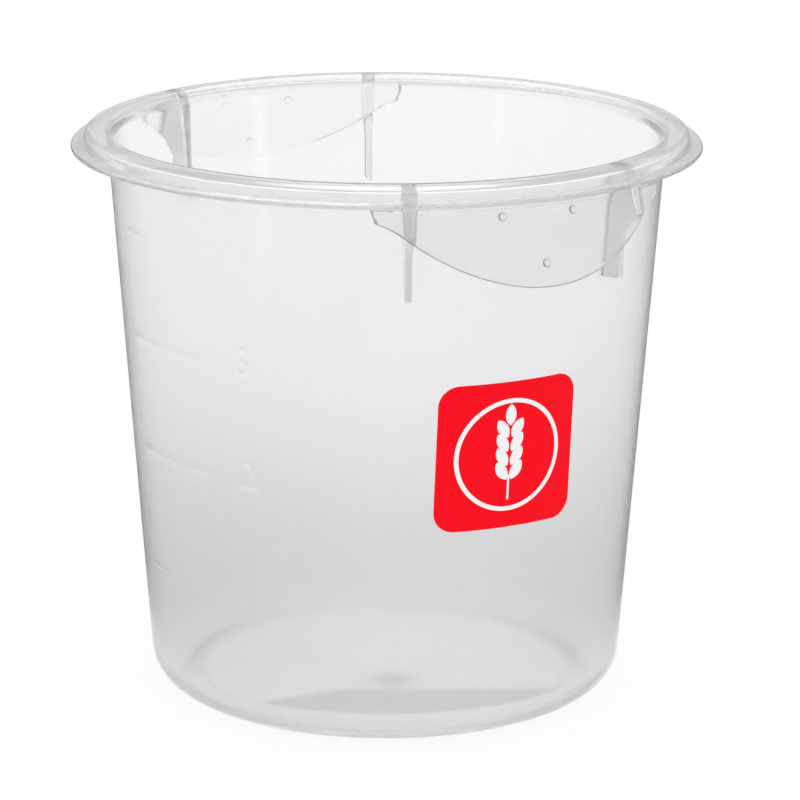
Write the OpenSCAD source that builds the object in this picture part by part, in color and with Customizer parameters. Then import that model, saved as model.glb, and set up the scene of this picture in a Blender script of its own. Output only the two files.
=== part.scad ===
// Round four quart storage and proofing container, moulded in one piece
// of milky clear plastic, with a printed film label on its front.
// Millimetres. Origin at the centre of the base, +Z up, label on the -Y side.
// Azimuth in this file is counted from -Y towards +X.

/* [Vessel] */
// Height from the table to the top of the rim
height = 196.5; // [185:0.5:205]
// Radius that the straight wall would have at the table
base_r = 81.4; // [79:0.1:83]
// Outward lean of the wall, in mm for each mm of height
draft = 0.0734; // [0.070:0.0002:0.077]
// Thickness of the wall
wall_t = 2; // [1.8:0.1:2.4]
// Outer radius of the rounded heel
heel_r = 12.8; // [11:0.1:15]
// Inner radius of the rounded heel
heel_inner_r = 10; // [8:0.1:11]
// Thickness of the floor
floor_t = 2.2; // [1.6:0.1:3]
// How far the floor is raised above the table inside the foot ring
floor_lift = 0.8; // [0.4:0.1:1.5]
// Width of the flat foot ring
foot_w = 5.5; // [3:0.5:8]

/* [Rim] */
// Radius of the lip that the lid snaps over
lip_r = 108; // [107:0.1:109]
// Thickness of the lip
lip_t = 1.8; // [1.4:0.1:2.2]
// Height of the whole rim band above the lip's lower face
rim_h = 6.5; // [6:0.1:7.5]
// Radius of the inner top edge
mouth_r = 96.1; // [95.5:0.1:97]
// Radius at which the flat top of the rim ends
crown_r = 100.9; // [100:0.1:101.5]
// Rounding of the rim's shoulder
shoulder_r = 2.6; // [2:0.1:3]
// Outward lean of the rim's outer side, in degrees
flank_lean = 18; // [12:1:22]

/* [Grip aprons] */
// Outer radius of an apron where it leaves the lip
apron_root_r = 105.9; // [105:0.1:106.5]
// Lean of an apron where it leaves the lip, in degrees
apron_root_lean = 12.5; // [10:0.5:15]
// Radius of the bell curve of an apron's face
apron_flare_r = 85; // [70:1:110]
// Thickness of an apron
apron_t = 2; // [1.6:0.1:2.4]
// Lowest point of an apron above the table
apron_low_z = 164.2; // [160:0.1:168]
// Radius of an apron's rounded lower edge, seen from the front
apron_arc_r = 67; // [62:1:72]
// Radius of the sweep that eases the lower edge out to the ends
apron_sweep_r = 20; // [15:1:22]
// Half the width of an apron at the lip, seen from the front
apron_half_w = 52.5; // [51:0.1:55]
// How much narrower each end is at its lower corner
apron_end_slant = 1; // [0:0.1:2]

/* [Ribs] */
// Angle from an apron's middle to each of its two ribs
rib_azimuth = 23.1; // [21:0.1:25]
// Lower end of a rib above the table
rib_low_z = 158; // [150:0.5:160]
// Radius of a rib's free outer edge, below the apron
rib_fin_r = 100.6; // [99:0.1:102]
// Thickness of the free fin
rib_fin_t = 2.4; // [2:0.1:3]
// Thickness of a rib where it meets the apron's lower edge
rib_t = 3; // [2.4:0.1:3.4]
// Thickness of a rib at the rim
rib_root_t = 4.6; // [3.4:0.1:5]

/* [Grip bumps] */
// Radius of a bump's foot
bump_r = 1.5; // [1.2:0.1:2]
// Height of a bump
bump_h = 1; // [0.5:0.1:1.1]
// Angle from an apron's middle to its upper two bumps
bump_azimuth = 6.9; // [5:0.1:9]
// Height of the upper two bumps above the table
bump_high_z = 186.5; // [184:0.1:187]
// Height of the lower bump above the table
bump_low_z = 171.5; // [169:0.1:174]

/* [Scale] */
// Height of the raised lines above the wall
line_relief = 0.1; // [0.1:0.05:0.4]
// Height of the raised numbers above the wall
number_relief = 0.2; // [0.1:0.05:0.4]
// Volume between two lines, in cubic millimetres (one quart)
line_volume = 946353; // [900000:1000:1000000]
// Number of lines
line_count = 4; // [2:1:4]
// Width of a line, up and down
line_w = 0.9; // [0.6:0.1:1.4]
// Azimuth of the line's end beside the numbers
line_start = -67.6; // [-72:0.1:-64]
// Azimuth of the line's far end
line_end = -95; // [-100:0.5:-85]
// Azimuth of the numbers' middle
number_azimuth = -58.5; // [-62:0.1:-56]
// Height of a number
number_h = 9.6; // [7:0.1:12]
// Thickness of a number's stroke
number_w = 1.3; // [0.8:0.1:1.6]

/* [Label] */
// Side of the square label
label_size = 50.6; // [45:0.1:55]
// Radius of the label's corners
label_corner_r = 7; // [4:0.5:10]
// Height of the label's middle above the table
label_z = 102; // [90:0.5:115]
// Thickness of the label's film
label_t = 0.2; // [0.15:0.05:0.3]
// Thickness of the print on the film
print_t = 0.1; // [0.05:0.05:0.15]
// Outer radius of the printed ring
ring_r = 19.5; // [17:0.1:21]
// Width of the printed ring and of the stem
print_w = 1.5; // [1:0.1:2]
// Pairs of grains on the printed ear
grain_pairs = 4; // [3:1:4]

/* [Gate] */
// Radius of the round moulding gate under the floor
gate_r = 6; // [4:0.5:8]
// Thickness of the gate's disc, below the floor
gate_h = 0.4; // [0.2:0.1:0.5]

/* [Hidden] */
$fn = 96;

CLEAR = [0.90, 0.92, 0.92];
MARK = [0.80, 0.83, 0.84];
RED = [0.95, 0.05, 0.15];
WHITE = [0.98, 0.97, 0.96];

// Wall lines: outer and inner radius at a height
lean = atan(draft);
function wall_r(z) = base_r + draft * z;
function bore_r(z) = wall_r(z) - wall_t / cos(lean);

// Floor and heel
floor_z = floor_lift + floor_t;
heel_c = wall_r(heel_r) - heel_r / cos(lean);
heel_inner_z = floor_z + heel_inner_r;
heel_inner_c = bore_r(heel_inner_z) - heel_inner_r / cos(lean);
heel_top = max(heel_r, heel_inner_z);
far = 130;

// Rim
lip_z = height - rim_h;
lip_top = lip_z + lip_t;
shoulder_z = height - shoulder_r;
flank_r = crown_r + shoulder_r * cos(flank_lean);
flank_z = shoulder_z + shoulder_r * sin(flank_lean);
lip_root_r = flank_r + (flank_z - lip_top) * tan(flank_lean);
channel_r = lip_root_r - wall_t;
channel_top = height - wall_t;
channel_corner = 1.2;
mouth_low = lip_z + 2;
mouth_edge = 0.5;

// Bell curve of an apron, and its lower edge seen from the front
flare_x = apron_root_r + apron_flare_r * cos(apron_root_lean);
flare_z = lip_z + apron_flare_r * sin(apron_root_lean);
function bell_r(z, r) = flare_x - sqrt(pow(r, 2) - pow(flare_z - z, 2));
apron_steps = 12;
function apron_z(i) = lip_z - i * (lip_z + 1 - apron_low_z) / apron_steps;
crease_r = lip_r - 0.3;
crease_z = (lip_z + apron_z(1)) / 2;
apron_face = concat(
    [[crease_r, lip_z], [bell_r(crease_z, apron_flare_r) + 0.4, crease_z]],
    [for (i = [1 : apron_steps]) [bell_r(apron_z(i), apron_flare_r), apron_z(i)]]);
apron_back = [for (i = [0 : apron_steps])
    [bell_r(apron_z(i), apron_flare_r + apron_t), apron_z(i)]];
arc_z = apron_low_z + apron_arc_r;
end_z = 186;
sweep_z = end_z - apron_sweep_r;
sweep_x = sqrt(pow(apron_arc_r + apron_sweep_r, 2) - pow(arc_z - sweep_z, 2));
sweep_turn = atan2(arc_z - sweep_z, sweep_x);
touch_x = apron_arc_r * cos(sweep_turn);
touch_z = arc_z - apron_arc_r * sin(sweep_turn);

// Rib where its fin widens to meet the apron's back
rib_join_step = 4;
rib_join_z = apron_z(rib_join_step);
rib_knee_z = rib_join_z - 8;
rib_back = [for (i = [0 : rib_join_step]) apron_back[rib_join_step - i]];

// Level of line n, from the volume of the tapered bore above the floor
heel_loss = 2 * PI * (heel_inner_c + 0.8 * heel_inner_r) * (1 - PI / 4) * pow(heel_inner_r, 2);
function level_r(n) = pow(pow(bore_r(floor_z), 3)
    + 3 * draft * (n * line_volume + heel_loss) / PI, 1 / 3);
function level(n) = (level_r(n) - bore_r(0)) / draft;

// Points of an arc round a centre, from one angle to another
function arc(centre, r, from, to, steps = 6) =
    [for (i = [0 : steps]) centre + r * [cos(from + (to - from) * i / steps),
                                         sin(from + (to - from) * i / steps)]];

// Reverse of a list
function back_to_front(list) = [for (i = [len(list) - 1 : -1 : 0]) list[i]];

// Sector of a turned shape, centred on an azimuth
module turned(azimuth, angle) {
    rotate([0, 0, azimuth - 90 - angle / 2]) rotate_extrude(angle = angle) children();
}

// Flat shape seen from outside at an azimuth, pushed out from the axis
module faced(azimuth, reach = far) {
    rotate([0, 0, azimuth]) rotate([90, 0, 0]) linear_extrude(height = reach) children();
}

// Thin skin on the wall between two heights, lying from_t to to_t outside it
module wall_skin(azimuth, angle, z0, z1, from_t, to_t) {
    turned(azimuth, angle) polygon([
        [wall_r(z0) + from_t, z0], [wall_r(z0) + to_t, z0],
        [wall_r(z1) + to_t, z1], [wall_r(z1) + from_t, z1]]);
}

module floor() {
    color(CLEAR) translate([0, 0, floor_lift]) cylinder(r = heel_c - foot_w, h = floor_t);
}

module foot_ring() {
    edge = 0.5;
    color(CLEAR) rotate_extrude() polygon([
        [heel_c - foot_w, edge], [heel_c - foot_w + edge, 0], [heel_c, 0],
        [heel_c, floor_z], [heel_c - foot_w, floor_z]]);
}

// Everything inside a rounded corner that runs up into the wall's line
module corner_fill(r, c, z, top, top_r) {
    translate([c, z]) circle(r = r);
    polygon([[c, z], [c + r * cos(lean), z - r * sin(lean)], [top_r, top], [c, top]]);
}

module heel() {
    color(CLEAR) rotate_extrude() difference() {
        intersection() {
            corner_fill(heel_r, heel_c, heel_r, heel_top, wall_r(heel_top));
            translate([heel_c, 0]) square([far, heel_top]);
        }
        corner_fill(heel_inner_r, heel_inner_c, heel_inner_z, far, bore_r(far));
        translate([0, floor_z]) square([heel_inner_c, far]);
    }
}

module wall() {
    color(CLEAR) rotate_extrude() polygon([
        [bore_r(heel_top), heel_top], [wall_r(heel_top), heel_top],
        [wall_r(lip_z), lip_z], [bore_r(lip_z), lip_z]]);
}

// Hollow under the rim, from the outer side over the top to the wall
channel_line = concat(
    [[channel_r, lip_z]],
    arc([channel_r - channel_corner, channel_top - channel_corner], channel_corner, 0, 90),
    arc([wall_r(channel_top) + channel_corner, channel_top - channel_corner], channel_corner, 90, 180),
    [[wall_r(lip_z), lip_z]]);

module rim() {
    color(CLEAR) rotate_extrude() polygon(concat(
        [[bore_r(lip_z), lip_z], [bore_r(mouth_low), mouth_low]],
        [[mouth_r, height - mouth_edge], [mouth_r + mouth_edge, height]],
        arc([crown_r, shoulder_z], shoulder_r, 90, flank_lean),
        [[lip_root_r, lip_top], [lip_root_r, lip_z]],
        channel_line));
}

module lid_lip() {
    color(CLEAR) rotate_extrude() {
        translate([lip_root_r, lip_z]) square([lip_r - lip_t / 2 - lip_root_r, lip_t]);
        intersection() {
            translate([lip_r - lip_t / 2, lip_z + lip_t / 2]) circle(r = lip_t / 2);
            translate([lip_root_r, lip_z]) square([lip_r, lip_t]);
        }
    }
}

// Outline of an apron seen from the front
module apron_outline() {
    low_corner = apron_half_w - apron_end_slant;
    intersection() {
        union() {
            translate([0, arc_z]) circle(r = apron_arc_r);
            for (side = [-1, 1]) scale([side, 1]) difference() {
                polygon([
                    [touch_x, touch_z], [sweep_x, end_z],
                    [sweep_x, lip_z + 1], [touch_x, lip_z + 1]]);
                translate([sweep_x, sweep_z]) circle(r = apron_sweep_r);
            }
        }
        polygon([
            [-apron_half_w, lip_z], [-low_corner, end_z], [-low_corner, apron_low_z - 1],
            [low_corner, apron_low_z - 1], [low_corner, end_z], [apron_half_w, lip_z]]);
    }
}

// Bell-curved section of an apron, with the soft crease under the lip
module apron_section() {
    polygon(concat(apron_face, back_to_front(apron_back)));
}

module grip(azimuth) {
    color(CLEAR) intersection() {
        turned(azimuth, 70) apron_section();
        faced(azimuth) apron_outline();
    }
}

// Space that a rib fills between the wall, the apron and the rim
module rib_section() {
    polygon(concat(
        [[wall_r(rib_low_z), rib_low_z], [rib_fin_r, rib_low_z], [rib_fin_r, rib_knee_z]],
        rib_back, channel_line));
}

module rib(azimuth) {
    color(CLEAR) intersection() {
        turned(azimuth, 8) rib_section();
        faced(azimuth) polygon([
            [-rib_fin_t / 2, rib_low_z - 1], [rib_fin_t / 2, rib_low_z - 1],
            [rib_fin_t / 2, rib_knee_z], [rib_t / 2, rib_join_z], [rib_root_t / 2, channel_top + 1],
            [-rib_root_t / 2, channel_top + 1], [-rib_t / 2, rib_join_z], [-rib_fin_t / 2, rib_knee_z]]);
    }
}

// Low round bump standing square on an apron's outer face
module bump(azimuth, z) {
    ball_r = (pow(bump_r, 2) + pow(bump_h, 2)) / (2 * bump_h);
    tilt = asin((flare_z - z) / apron_flare_r);
    rotate([0, 0, azimuth]) translate([0, -bell_r(z, apron_flare_r), z])
        rotate([90 - tilt, 0, 0]) intersection() {
            translate([0, 0, bump_h - ball_r]) sphere(r = ball_r);
            cylinder(r = 2 * bump_r, h = 2 * bump_h);
        }
}

module grip_bumps(azimuth) {
    color(CLEAR) {
        for (side = [-1, 1]) bump(azimuth + side * bump_azimuth, bump_high_z);
        bump(azimuth, bump_low_z);
    }
}

module scale_lines(turn) {
    angle = abs(line_end - line_start);
    middle = (line_start + line_end) / 2;
    color(MARK) for (n = [1 : line_count])
        wall_skin(turn + middle, angle, level(n) - line_w / 2, level(n) + line_w / 2, 0, line_relief);
}

// Unit direction from point a to point b
function along(a, b) = (b - a) / norm(b - a);

// Sideways step at point i of a line, which keeps the stroke's width round corners
function mitre(p, i) = let (
    before = along(p[max(i - 1, 0)], p[max(i, 1)]),
    after = along(p[min(i, len(p) - 2)], p[min(i + 1, len(p) - 1)]),
    middle = before + after)
    [-middle[1], middle[0]] / (middle * after);

// Stroke of even width along a line of points
module stroke(p) {
    polygon(concat(
        [for (i = [0 : len(p) - 1]) p[i] + mitre(p, i) * number_w / 2],
        [for (i = [len(p) - 1 : -1 : 0]) p[i] - mitre(p, i) * number_w / 2]));
}

// Plain numbers, with their middle at the origin
module number(n) {
    top = (number_h - number_w) / 2;
    side = number_h * 0.24;
    bowl = top / 2;
    if (n == 1) stroke([[0, -top - number_w / 2], [0, top], [-side, top - side]]);
    if (n == 2) stroke(concat(
        arc([0, top - side], side, 170, -35, 9), [[-side, -top], [1.2 * side, -top]]));
    if (n == 3) {
        stroke(arc([0, bowl], bowl, 160, -90, 9));
        stroke(arc([0, -bowl], bowl, 90, -160, 9));
    }
    if (n == 4) {
        stroke([[side / 2, top + number_w / 2], [side / 2, -top - number_w / 2]]);
        stroke([[side / 2, top], [-1.2 * side, -top / 3], [1.4 * side, -top / 3]]);
    }
}

module scale_numbers(turn) {
    color(MARK) for (n = [1 : line_count]) {
        z = level(n) + number_h / 4;
        intersection() {
            wall_skin(turn + number_azimuth, 16, z - number_h, z + number_h, 0, number_relief);
            faced(turn + number_azimuth) translate([0, z]) number(n);
        }
    }
}

module gate_mark() {
    color(MARK) translate([0, 0, floor_lift - gate_h]) cylinder(r = gate_r, h = gate_h);
}

// Square with round corners, centred on the origin
module rounded_square(size, r) {
    inset = size / 2 - r;
    square([size, 2 * inset], center = true);
    square([2 * inset, size], center = true);
    for (x = [-1, 1], y = [-1, 1]) translate([x * inset, y * inset]) circle(r = r);
}

module label_film() {
    color(RED) intersection() {
        wall_skin(0, 44, label_z - label_size, label_z + label_size, 0, label_t);
        faced(0) translate([0, label_z]) rounded_square(label_size, label_corner_r);
    }
}

// Pointed grain, from its lower tip up to a length
module grain(length, width) {
    r = (pow(length / 2, 2) + pow(width / 2, 2)) / width;
    translate([0, length / 2]) intersection_for (side = [-1, 1])
        translate([side * (r - width / 2), 0]) circle(r = r);
}

// Ear of grain on its stem, inside a ring
module ear_in_ring() {
    grain_l = ring_r * 0.38;
    grain_w = ring_r * 0.2;
    pitch = ring_r * 0.25;
    first = -ring_r * 0.44;
    difference() {
        circle(r = ring_r);
        circle(r = ring_r - print_w);
    }
    translate([-print_w / 4, -ring_r * 0.8]) square([print_w / 2, ring_r * 0.45]);
    for (row = [0 : grain_pairs - 1], side = [-1, 1])
        translate([side * print_w * 0.45, first + row * pitch]) rotate(-side * 32)
            grain(grain_l, grain_w);
    translate([0, first + grain_pairs * pitch - ring_r * 0.04]) grain(grain_l, grain_w);
}

module label_print() {
    color(WHITE) intersection() {
        wall_skin(0, 40, label_z - label_size, label_z + label_size, label_t, label_t + print_t);
        faced(0) translate([0, label_z]) ear_in_ring();
    }
}

floor();
foot_ring();
heel();
wall();
rim();
lid_lip();
grip(0);  // front_grip
grip(180);  // rear_grip
rib(-rib_azimuth);  // front_left_rib
rib(rib_azimuth);  // front_right_rib
rib(180 + rib_azimuth);  // rear_left_rib
rib(180 - rib_azimuth);  // rear_right_rib
grip_bumps(0);  // front_grip_bumps
grip_bumps(180);  // rear_grip_bumps
scale_lines(0);  // left_scale_lines
scale_numbers(0);  // left_scale_numbers
scale_lines(180);  // right_scale_lines
scale_numbers(180);  // right_scale_numbers
gate_mark();
label_film();
label_print();
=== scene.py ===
# %% [markdown]
# A round storage container for proofing dough, moulded in one shot from milky
# clear plastic, with a red label on its front. The CAD model is the frame: it
# gives every size and place. This notebook dresses it: the clear moulding is
# rebuilt as one seamless mesh, because see-through plastic shows every face
# inside it, and the label and its print are thin skins on the wall.

# %% Load the frame
import math

import bpy
import bmesh
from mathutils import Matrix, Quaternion, Vector


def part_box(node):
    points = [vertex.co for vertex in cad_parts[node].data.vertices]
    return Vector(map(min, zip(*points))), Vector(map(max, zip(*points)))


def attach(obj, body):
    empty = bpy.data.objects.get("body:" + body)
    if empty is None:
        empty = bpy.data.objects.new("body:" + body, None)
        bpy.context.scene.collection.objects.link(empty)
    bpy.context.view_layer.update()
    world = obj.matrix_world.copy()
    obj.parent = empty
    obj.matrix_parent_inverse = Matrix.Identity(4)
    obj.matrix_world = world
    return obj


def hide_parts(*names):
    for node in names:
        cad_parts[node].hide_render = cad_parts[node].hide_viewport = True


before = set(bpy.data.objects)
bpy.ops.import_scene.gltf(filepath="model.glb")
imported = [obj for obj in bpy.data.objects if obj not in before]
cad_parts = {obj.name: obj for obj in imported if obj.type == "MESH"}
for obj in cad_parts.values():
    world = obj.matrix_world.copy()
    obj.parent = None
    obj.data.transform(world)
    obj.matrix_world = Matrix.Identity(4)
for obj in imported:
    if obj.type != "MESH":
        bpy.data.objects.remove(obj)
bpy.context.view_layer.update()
MM = 0.001

# %% [markdown]
# The main sizes are read from the boxes of the CAD nodes, so that the moulding
# lands exactly where the frame is. The rest are the same driving sizes that the
# CAD source holds: roundings, thicknesses and the shapes of aprons and ribs.
# All are in millimetres here and become metres when a mesh is made.


# %% Sizes from the frame
def node_top(node):
    """Highest corner of a CAD node, in mm."""
    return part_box(node)[1] / MM


def node_low(node):
    """Lowest corner of a CAD node, in mm."""
    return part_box(node)[0] / MM


HEIGHT = node_top("rim").z
LIP_R = node_top("lid_lip").x
LIP_LOW, LIP_TOP = node_low("lid_lip").z, node_top("lid_lip").z
HEEL_TOP = node_top("heel").z
WALL_TOP_R, HEEL_TOP_R = node_top("wall").x, node_top("heel").x
DRAFT = (WALL_TOP_R - HEEL_TOP_R) / (LIP_LOW - HEEL_TOP)
FLOOR_LOW, FLOOR_TOP = node_low("floor").z, node_top("floor").z
FOOT_IN_R = node_top("floor").x
LEAN = math.atan(DRAFT)
WALL_T = 2.0


def wall_r(z):
    """Radius of the wall's outer face at a height."""
    return HEEL_TOP_R + DRAFT * (z - HEEL_TOP)


def bore_r(z):
    """Radius of the wall's inner face at a height."""
    return wall_r(z) - WALL_T / math.cos(LEAN)


print(f"wall leans {math.degrees(LEAN):.2f} degrees, lip radius {LIP_R:.1f} mm")

# %% [markdown]
# Wall, heel, floor, foot ring, rim and lip all have the same axis, so one
# outline turned round that axis makes them. The outline is a short list of
# sharp corners, each with its rounding. A small function swaps every corner
# for an arc, which is how a toolmaker draws it too.


# %% Rounded outlines
def unit(v):
    """Vector of length one along v."""
    return v / v.length


def round_corner(before, corner, after, radius, steps):
    """Points of the arc that rounds one corner."""
    to_before, to_after = unit(before - corner), unit(after - corner)
    half = to_before.angle(to_after) / 2
    reach = radius / math.tan(half)
    centre = corner + unit(to_before + to_after) * (radius / math.sin(half))
    start, end = corner + to_before * reach, corner + to_after * reach
    turn = math.pi - 2 * half
    from_centre = start - centre
    way = 1 if from_centre.x * (end - centre).y > from_centre.y * (end - centre).x else -1
    points = []
    for i in range(steps + 1):
        a = way * turn * i / steps
        points.append(centre + Vector((
            from_centre.x * math.cos(a) - from_centre.y * math.sin(a),
            from_centre.x * math.sin(a) + from_centre.y * math.cos(a))))
    return points


def rounded(corners, closed=False, steps=6):
    """Outline whose corners (x, y, rounding) are replaced by arcs."""
    flat = [Vector(c[:2]) for c in corners]
    points = []
    for i, c in enumerate(corners):
        at_end = not closed and i in (0, len(corners) - 1)
        if at_end or c[2] == 0:
            points.append(flat[i])
        else:
            points += round_corner(
                flat[i - 1], flat[i], flat[(i + 1) % len(flat)], c[2], max(steps, round(c[2])))
    return points


def subdivided(points, longest):
    """Same outline with no step longer than this."""
    out = [points[0]]
    for a, b in zip(points, points[1:]):
        n = max(1, math.ceil((b - a).length / longest))
        out += [a.lerp(b, k / n) for k in range(1, n + 1)]
    return out


# %% Outline of the vessel
HEEL_R, HEEL_IN_R = 12.8, 10.0
CROWN_R, SHOULDER_R, FLANK_LEAN = 100.9, 2.6, math.radians(18)
MOUTH_R, MOUTH_LOW = 96.1, LIP_LOW + 2
CHANNEL_TOP, CHANNEL_ROUND = HEIGHT - WALL_T, 1.2
FOOT_ROUND, FOOT_SLOPE, ROOT_ROUND, LIP_ROUND = 0.35, 0.5, 0.5, 0.85
MOUTH_ROUND, BORE_ROUND, LONGEST_STEP = 0.7, 4, 4.0

shoulder_z = HEIGHT - SHOULDER_R
flank_r = CROWN_R + SHOULDER_R * math.cos(FLANK_LEAN)
flank_z = shoulder_z + SHOULDER_R * math.sin(FLANK_LEAN)
LIP_ROOT_R = flank_r + (flank_z - LIP_TOP) * math.tan(FLANK_LEAN)
CHANNEL_R = LIP_ROOT_R - WALL_T
shoulder_corner_r = LIP_ROOT_R - (HEIGHT - LIP_TOP) * math.tan(FLANK_LEAN)

vessel_outline = subdivided(rounded([
    (0, FLOOR_LOW, 0),
    (FOOT_IN_R, FLOOR_LOW, FOOT_ROUND),
    (FOOT_IN_R + FOOT_SLOPE, 0, FOOT_ROUND),
    (wall_r(0), 0, HEEL_R),
    (wall_r(CHANNEL_TOP), CHANNEL_TOP, CHANNEL_ROUND),
    (CHANNEL_R, CHANNEL_TOP, CHANNEL_ROUND),
    (CHANNEL_R, LIP_LOW, ROOT_ROUND),
    (LIP_R, LIP_LOW, LIP_ROUND),
    (LIP_R, LIP_TOP, LIP_ROUND),
    (LIP_ROOT_R, LIP_TOP, ROOT_ROUND),
    (shoulder_corner_r, HEIGHT, SHOULDER_R),
    (MOUTH_R, HEIGHT, MOUTH_ROUND),
    (bore_r(MOUTH_LOW), MOUTH_LOW, BORE_ROUND),
    (bore_r(FLOOR_TOP), FLOOR_TOP, HEEL_IN_R),
    (0, FLOOR_TOP, 0),
]), LONGEST_STEP)
print("points in the vessel's outline:", len(vessel_outline))


# %% Turn the outline
def new_object(name, vertices, faces):
    """Mesh object from points in mm and faces by index."""
    mesh = bpy.data.meshes.new(name)
    mesh.from_pydata([Vector(v) * MM for v in vertices], [], faces)
    mesh.validate()
    obj = bpy.data.objects.new(name, mesh)
    bpy.context.scene.collection.objects.link(obj)
    bm = bmesh.new()
    bm.from_mesh(mesh)
    bmesh.ops.recalc_face_normals(bm, faces=bm.faces)
    bm.to_mesh(mesh)
    bm.free()
    return obj


def turned(name, outline, around):
    """Closed body: an open outline from axis to axis, turned about Z."""
    middle = outline[1:-1]
    vertices = [(0, 0, outline[0].y), (0, 0, outline[-1].y)]
    for k in range(around):
        a = 2 * math.pi * k / around
        vertices += [(p.x * math.sin(a), -p.x * math.cos(a), p.y) for p in middle]
    faces, n = [], len(middle)
    for k in range(around):
        here, after = 2 + k * n, 2 + (k + 1) % around * n
        faces.append((0, after, here))
        faces.append((1, here + n - 1, after + n - 1))
        faces += [(here + i, after + i, after + i + 1, here + i + 1) for i in range(n - 1)]
    return new_object(name, vertices, faces)


AROUND = 240
moulding = turned("container_moulding", vessel_outline, AROUND)
print("faces in the turned vessel:", len(moulding.data.polygons))

# %% [markdown]
# Each grip apron hangs from the lip. Its face follows a bell curve, steeper at
# the lip and flaring out below, and its lower edge is one large arc that sweeps
# out to short upright ends. It could be a solidified sheet, but then its edges
# would be square. Here a closed loop is drawn for every column, with rounded
# lower corners, and the loops thin out at both ends so that these are round too.

# %% Bell curve and lower edge of an apron
APRON_ROOT_R, APRON_ROOT_LEAN = 105.9, math.radians(12.5)
APRON_FLARE_R, APRON_T = 85.0, 2.0
APRON_LOW = node_low("front_grip").z
APRON_HALF_W, APRON_SLANT, APRON_END_Z = 52.5, 1.0, 186.0
APRON_ARC_R, APRON_SWEEP_R = 67.0, 20.0
APRON_END_ROUND, APRON_EDGE_ROUND, EDGE_CLEAR = 0.45, 0.65, 0.9
APRON_COLUMNS, END_COLUMNS = 84, 4
BITE = 0.9  # how deep a piece reaches into its neighbour
CREASE_H, CREASE_OUT = 3.0, 1.8

flare_x = APRON_ROOT_R + APRON_FLARE_R * math.cos(APRON_ROOT_LEAN)
flare_z = LIP_LOW + APRON_FLARE_R * math.sin(APRON_ROOT_LEAN)
arc_z = APRON_LOW + APRON_ARC_R
sweep_z = APRON_END_Z - APRON_SWEEP_R
sweep_x = math.sqrt((APRON_ARC_R + APRON_SWEEP_R) ** 2 - (arc_z - sweep_z) ** 2)
touch_x = APRON_ARC_R * sweep_x / (APRON_ARC_R + APRON_SWEEP_R)


def bell_r(z, radius=APRON_FLARE_R):
    """Radius of the apron's face at a height."""
    return flare_x - math.sqrt(radius ** 2 - (flare_z - z) ** 2)


def apron_back_r(z):
    """Radius of the apron's back at a height."""
    return bell_r(z, APRON_FLARE_R + APRON_T)


def apron_face_r(z):
    """Radius of the face, with the soft crease under the lip."""
    rise = max(0, (z - LIP_LOW + CREASE_H) / CREASE_H)
    return bell_r(z) + CREASE_OUT * min(rise, 1) ** 3


def apron_edge_z(x):
    """Height of the lower edge, seen from the front."""
    x = abs(x)
    if x <= touch_x:
        return arc_z - math.sqrt(APRON_ARC_R ** 2 - x ** 2)
    return sweep_z + math.sqrt(APRON_SWEEP_R ** 2 - (sweep_x - x) ** 2)


def apron_half_width(z):
    """Half the apron's width at a height, seen from the front."""
    down = min(max((LIP_LOW - z) / (LIP_LOW - APRON_END_Z), 0), 1)
    return APRON_HALF_W - APRON_SLANT * down


# %% Build one apron
def apron_loop(share, thin, rows=14):
    """Closed loop of one column: share runs from -1 to 1 across the apron."""
    low = apron_edge_z(share * (APRON_HALF_W - APRON_SLANT)) + thin
    top = LIP_LOW + BITE
    heights = [top + (low + EDGE_CLEAR - top) * i / rows for i in range(rows + 1)]
    face = [(apron_face_r(z) - thin, z, 0) for z in heights]
    back = [(apron_back_r(z) + thin, z, 0) for z in reversed(heights)]
    corner = APRON_EDGE_ROUND * (1 - thin)
    corners = face + [(apron_face_r(low) - thin, low, corner)]
    corners += [(apron_back_r(low) + thin, low, corner)] + back
    loop = []
    for p in rounded(corners, closed=True, steps=3):
        x = share * apron_half_width(p.y)
        loop.append((x, -math.sqrt(p.x ** 2 - x ** 2), p.y))
    return loop


def bridged(name, loops):
    """Closed body from a row of equal loops, capped at both ends."""
    n = len(loops[0])
    vertices = [v for loop in loops for v in loop]
    faces = [tuple(range(n)), tuple(range(len(vertices) - n, len(vertices)))]
    for k in range(len(loops) - 1):
        here, after = k * n, (k + 1) * n
        faces += [(here + i, after + i, after + (i + 1) % n, here + (i + 1) % n)
                  for i in range(n)]
    return new_object(name, vertices, faces)


def apron(name, turn):
    """Grip apron at an angle about Z."""
    edge = APRON_END_ROUND
    ends = [edge * (1 - math.cos(math.pi / 2 * i / END_COLUMNS)) for i in range(END_COLUMNS)]
    middle = [edge + (APRON_HALF_W - edge) * 2 * i / APRON_COLUMNS
              for i in range(APRON_COLUMNS + 1)]
    inset = sorted(ends + [m for m in middle if m < 2 * APRON_HALF_W - edge])
    inset += [2 * APRON_HALF_W - e for e in reversed(ends)]
    loops = []
    for x in inset:
        from_end = min(x, 2 * APRON_HALF_W - x, edge)
        thin = edge - math.sqrt(max(edge ** 2 - (edge - from_end) ** 2, 0))
        loops.append(apron_loop(x / APRON_HALF_W - 1, thin))
    obj = bridged(name, loops)
    obj.rotation_euler.z = turn
    return obj


additions = [apron("front_apron", 0), apron("rear_apron", math.pi)]
print("faces in one apron:", len(additions[0].data.polygons))

# %% [markdown]
# A rib is a thin upright fin. Below the apron it stands free from the wall, and
# higher up it widens to tie the apron and the rim to the wall. It gets thicker
# towards the rim, because the mould pulls off downwards. Rows of points at a
# few heights say how deep and how thick it is there. Its ends reach a little
# into its neighbours, so that the union has something to cut.

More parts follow.
